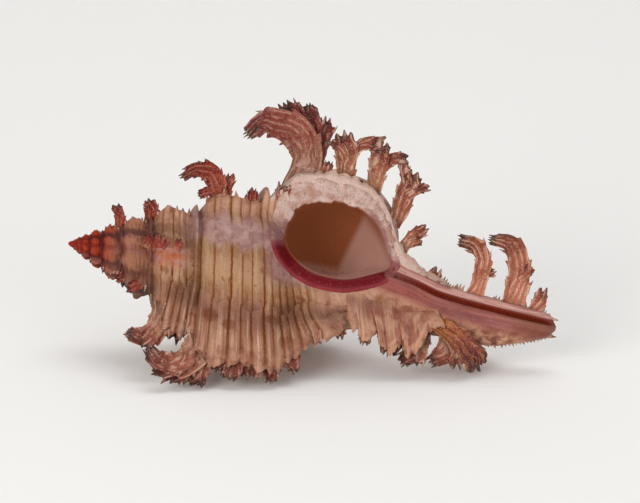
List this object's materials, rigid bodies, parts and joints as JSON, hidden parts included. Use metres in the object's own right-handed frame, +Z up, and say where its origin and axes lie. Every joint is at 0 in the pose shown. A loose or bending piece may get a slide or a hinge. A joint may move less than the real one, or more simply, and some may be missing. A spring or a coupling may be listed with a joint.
{
  "type": "murex shell",
  "caption": "Spiny coiled sea shell with branching fronds along its varices, an open aperture and a long slit canal, lying on its frond tips.",
  "frame": {"origin": "the middle of the underside of the bounding box, on the surface that the shell lies on", "axes": "+X runs along the shell from the apex of the spire to the end of the canal, +Z is up, and the aperture faces -Y and a little upwards"},
  "size_m": [0.099, 0.0548, 0.0534],
  "materials": {
    "shell": "chalky ridged outside in cream, rose and brown, with a glossy inner lip and canal"
  },
  "bodies": {
    "root": {"shell": "shell"}
  },
  "joints": []
}
